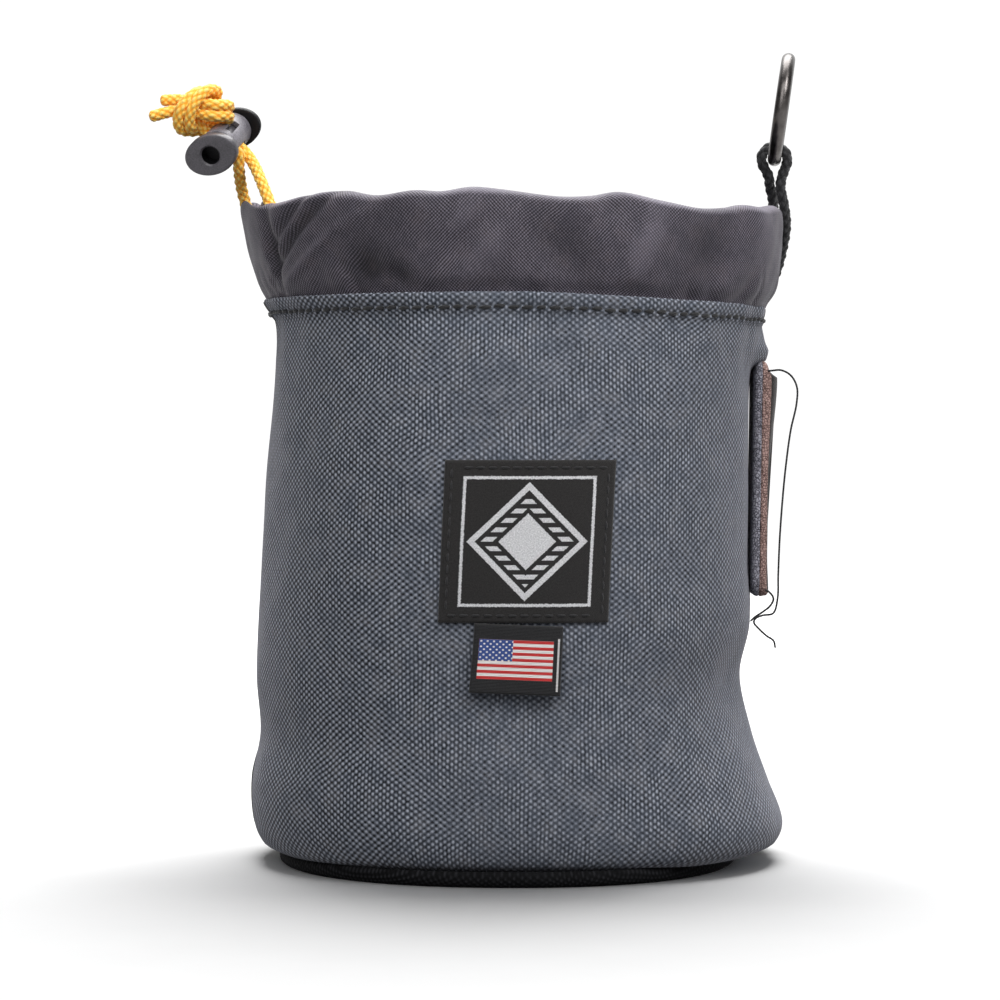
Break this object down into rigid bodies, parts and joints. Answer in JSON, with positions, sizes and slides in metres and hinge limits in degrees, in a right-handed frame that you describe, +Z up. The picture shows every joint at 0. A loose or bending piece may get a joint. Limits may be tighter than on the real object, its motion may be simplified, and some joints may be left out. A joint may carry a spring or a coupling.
{
  "type": "drawstring tool pouch",
  "caption": "Round cloth tool pouch with a flat base, a drawstring collar with a cord lock, a metal ring on a cord loop and a sewn side tab.",
  "frame": {"origin": "middle of the base's flat underside, on the surface that the pouch stands on", "axes": "+Z up out of the mouth, +X to the side with the ring and the tab, -Y to the front with the label"},
  "size_m": [0.1884, 0.155, 0.237],
  "materials": {
    "grey_cloth": "coarse plain weave, matt",
    "black_cloth": "coarse plain weave, matt",
    "black_packcloth": "fine twill with a slight sheen",
    "orange_cord": "braided cord",
    "black_cord": "braided cord",
    "black_plastic": "moulded, satin",
    "dark_metal": "dark plated wire",
    "webbing": "heavy webbing",
    "leather": "black finished face, raw brown edge",
    "woven_label": "woven label",
    "woven_tag": "woven tag"
  },
  "bodies": {
    "pouch": {"front_panel": "grey_cloth", "back_panel": "black_cloth", "base": "black_cloth", "collar": "black_packcloth", "drawstring": "orange_cord", "drawstring_knot": "orange_cord", "lock_body": "black_plastic", "ring_loop": "black_cord", "side_tab_inner": "webbing", "side_tab_outer": "leather", "label": "woven_label", "flag_tag": "woven_tag"},
    "ring": {"ring": "dark_metal"},
    "plunger": {"lock_plunger": "black_plastic"}
  },
  "joints": [
    {"name": "ring_swing", "type": "hinge", "parent": "pouch", "child": "ring", "pos_m": [0.0764, 0, 0.2058], "axis": [0.0698, 0.9976, 0], "range_deg": [-105, 125]},
    {"name": "plunger_press", "type": "slide", "parent": "pouch", "child": "plunger", "axis": [0.2489, 0.8826, 0.3988], "range_m": [0, 0.0035], "stiffness_N_per_m": 150, "springref_m": -0.005}
  ]
}
